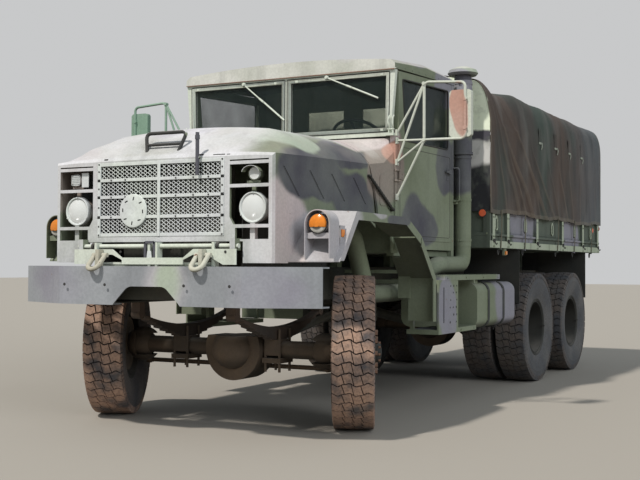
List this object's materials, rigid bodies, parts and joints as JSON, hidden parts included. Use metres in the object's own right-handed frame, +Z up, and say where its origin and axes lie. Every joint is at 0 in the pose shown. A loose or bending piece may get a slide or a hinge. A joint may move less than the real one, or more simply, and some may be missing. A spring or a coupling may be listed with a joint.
{
  "type": "military cargo truck",
  "caption": "Six-wheel-drive military cargo truck with a tilting hood, hard-top cab and a canvas-covered cargo bed.",
  "frame": {"origin": "centre of the footprint of the whole truck, at the ground the tyres stand on", "axes": "+Z up, +Y towards the tail, +X towards the truck's left side"},
  "size_m": [3.17, 7.7835, 2.9498],
  "materials": {
    "frame_paint": "matt dark paint, dusty",
    "camo_paint": "matt faded camouflage paint",
    "axle_paint": "matt, muddy",
    "spring_steel": "matt, rusty",
    "engine_metal": "matt, oily",
    "shackle_steel": "worn beige paint, rusty",
    "tyre": "muddy rubber",
    "rim_paint": "matt paint, dusty",
    "glass": "clear, dusty",
    "lamp_lens": "clear lens",
    "amber_lens": "amber lens",
    "cushion": "worn canvas over padding",
    "canvas": "faded coated canvas",
    "rubber": "matt black",
    "dash": "matt paint",
    "black_plastic": "matt black"
  },
  "bodies": {
    "chassis": {"battery_box": "frame_paint", "cab_glass": "glass", "cab_roof": "camo_paint", "cab_tub": "camo_paint", "canvas_cover": "canvas", "cargo_bed": "camo_paint", "cargo_sides": "camo_paint", "cover_bows": "spring_steel", "dashboard": "dash", "driveline": "frame_paint", "engine": "engine_metal", "exhaust_stack": "frame_paint", "fender_tails": "camo_paint", "frame": "frame_paint", "front_axle": "axle_paint", "front_bumper": "camo_paint", "front_springs": "spring_steel", "fuel_tank": "camo_paint", "hood_hinge_tube": "frame_paint", "intake_stack": "camo_paint", "mirrors": "camo_paint", "mud_flaps": "rubber", "pintle_hook": "frame_paint", "radiator": "engine_metal", "rear_axle_forward": "axle_paint", "rear_axle_rearward": "axle_paint", "rear_lamps": "frame_paint", "rear_suspension": "spring_steel", "seat_bases": "dash", "seat_cushions": "cushion", "side_steps": "frame_paint", "steering_wheel": "black_plastic", "tow_shackles": "shackle_steel", "windshield_frame": "camo_paint"},
    "hood": {"hood_shell": "camo_paint", "grille": "camo_paint", "front_fenders": "camo_paint", "headlamps": "lamp_lens", "signal_lamps": "amber_lens"},
    "door_left": {"door_left": "camo_paint", "door_glass_left": "glass"},
    "door_right": {"door_right": "camo_paint", "door_glass_right": "glass"},
    "tailgate": {"tailgate": "camo_paint"},
    "knuckle_left": {"knuckle_left": "axle_paint"},
    "knuckle_right": {"knuckle_right": "axle_paint"},
    "wheel_front_left": {"tyre_front_left": "tyre", "rim_front_left": "rim_paint"},
    "wheel_front_right": {"tyre_front_right": "tyre", "rim_front_right": "rim_paint"},
    "wheels_forward_left": {"tyres_forward_left": "tyre", "rims_forward_left": "rim_paint"},
    "wheels_forward_right": {"tyres_forward_right": "tyre", "rims_forward_right": "rim_paint"},
    "wheels_rearward_left": {"tyres_rearward_left": "tyre", "rims_rearward_left": "rim_paint"},
    "wheels_rearward_right": {"tyres_rearward_right": "tyre", "rims_rearward_right": "rim_paint"},
    "tie_rod": {"tie_rod": "axle_paint"}
  },
  "joints": [
    {"name": "hood_tilt", "type": "hinge", "parent": "chassis", "child": "hood", "pos_m": [0, -3.71825, 1.281], "axis": [1, 0, 0], "range_deg": [0, 50]},
    {"name": "door_left_swing", "type": "hinge", "parent": "chassis", "child": "door_left", "pos_m": [0.99, -1.90225, 1.65], "axis": [0, 0, -1], "range_deg": [0, 65]},
    {"name": "door_right_swing", "type": "hinge", "parent": "chassis", "child": "door_right", "pos_m": [-0.99, -1.90225, 1.65], "axis": [0, 0, 1], "range_deg": [0, 65]},
    {"name": "tailgate_drop", "type": "hinge", "parent": "chassis", "child": "tailgate", "pos_m": [0, 3.79375, 1.406], "axis": [-1, 0, 0], "range_deg": [0, 90]},
    {"name": "steer_left", "type": "hinge", "parent": "chassis", "child": "knuckle_left", "pos_m": [0.8, -2.76825, 0.545], "axis": [0, 0, 1], "range_deg": [-52.5, 3.5]},
    {"name": "steer_right", "type": "hinge", "parent": "chassis", "child": "knuckle_right", "pos_m": [-0.8, -2.76825, 0.545], "axis": [0, 0, 1], "range_deg": [-52.5, 3.5]},
    {"name": "tie_rod_pivot", "type": "hinge", "parent": "knuckle_left", "child": "tie_rod", "pos_m": [0.70462, -2.55896, 0.4], "axis": [0, 0, 1], "range_deg": [-3.5, 52.5]},
    {"name": "spin_front_left", "type": "hinge", "parent": "knuckle_left", "child": "wheel_front_left", "pos_m": [0.98199, -2.68531, 0.545], "axis": [0.91, 0.4147, 0], "continuous": true},
    {"name": "spin_front_right", "type": "hinge", "parent": "knuckle_right", "child": "wheel_front_right", "pos_m": [-0.98199, -2.85119, 0.545], "axis": [0.91, 0.4147, 0], "continuous": true},
    {"name": "spin_forward_left", "type": "hinge", "parent": "chassis", "child": "wheels_forward_left", "pos_m": [0.9175, 1.09275, 0.545], "axis": [1, 0, 0], "continuous": true},
    {"name": "spin_forward_right", "type": "hinge", "parent": "chassis", "child": "wheels_forward_right", "pos_m": [-0.9175, 1.09275, 0.545], "axis": [1, 0, 0], "continuous": true},
    {"name": "spin_rearward_left", "type": "hinge", "parent": "chassis", "child": "wheels_rearward_left", "pos_m": [0.9175, 2.46475, 0.545], "axis": [1, 0, 0], "continuous": true},
    {"name": "spin_rearward_right", "type": "hinge", "parent": "chassis", "child": "wheels_rearward_right", "pos_m": [-0.9175, 2.46475, 0.545], "axis": [1, 0, 0], "continuous": true}
  ],
  "couplings": [
    {"joint": "steer_right", "follows": "steer_left", "ratio": 1},
    {"joint": "tie_rod_pivot", "follows": "steer_left", "ratio": -1}
  ]
}
